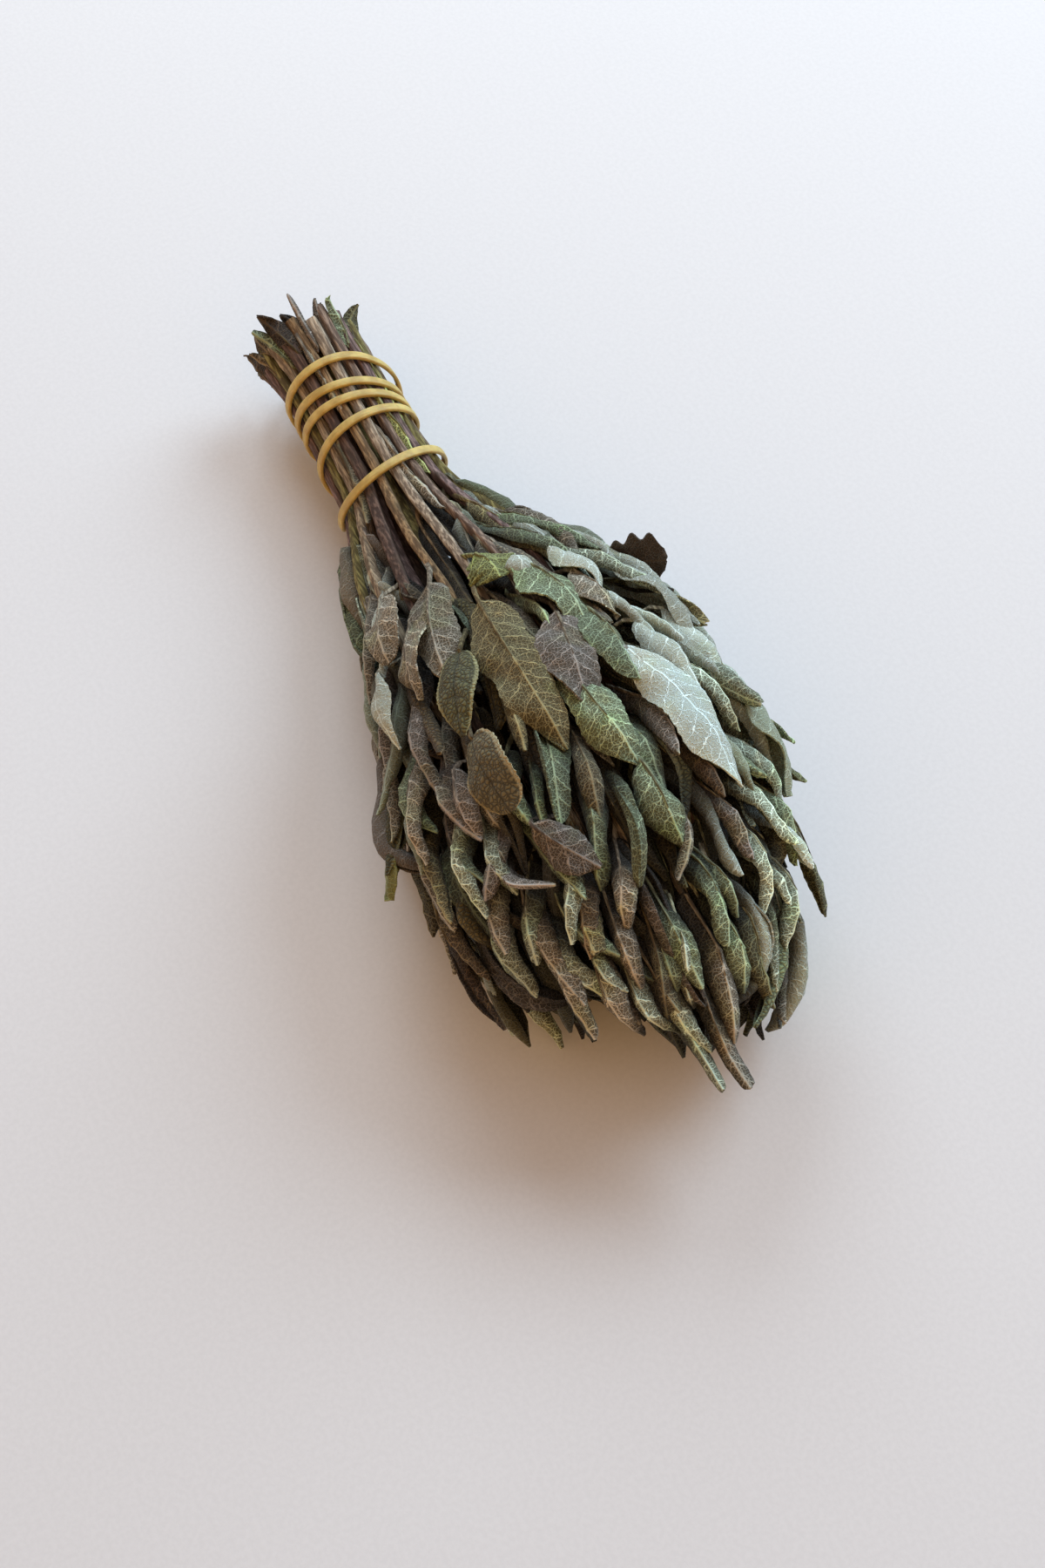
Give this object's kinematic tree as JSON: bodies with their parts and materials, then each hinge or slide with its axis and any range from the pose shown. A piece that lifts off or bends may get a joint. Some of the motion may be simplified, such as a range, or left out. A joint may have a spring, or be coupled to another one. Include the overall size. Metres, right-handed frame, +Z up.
{
  "type": "sage bunch",
  "caption": "Dried bunch of garden sage lying on its side: leafy sprigs held together by a rubber band wound round their stems.",
  "frame": {"origin": "middle of the footprint, on the surface that the bunch lies on", "axes": "+X from the cut stem ends to the leaf tips, +Z up"},
  "size_m": [0.2168, 0.0822, 0.0566],
  "materials": {
    "sage": "matte dried leaf, netted and felted, on woody purple-brown stems",
    "rubber_band": "satin natural rubber"
  },
  "bodies": {
    "root": {"sprig_inner_01": "sage", "sprig_inner_02": "sage", "sprig_inner_03": "sage", "sprig_inner_04": "sage", "sprig_middle_01": "sage", "sprig_middle_02": "sage", "sprig_middle_03": "sage", "sprig_middle_04": "sage", "sprig_middle_05": "sage", "sprig_middle_06": "sage", "sprig_middle_07": "sage", "sprig_middle_08": "sage", "sprig_middle_09": "sage", "sprig_middle_10": "sage", "sprig_middle_11": "sage", "sprig_middle_12": "sage", "sprig_outer_01": "sage", "sprig_outer_02": "sage", "sprig_outer_03": "sage", "sprig_outer_04": "sage", "sprig_outer_05": "sage", "sprig_outer_06": "sage", "sprig_outer_07": "sage", "sprig_outer_08": "sage", "sprig_outer_09": "sage", "sprig_outer_10": "sage", "sprig_outer_11": "sage", "sprig_outer_12": "sage", "sprig_outer_13": "sage", "sprig_outer_14": "sage", "sprig_outer_15": "sage", "sprig_outer_16": "sage", "sprig_outer_17": "sage", "sprig_outer_18": "sage", "sprig_outer_19": "sage", "sprig_outer_20": "sage", "rubber_band": "rubber_band"}
  },
  "joints": []
}
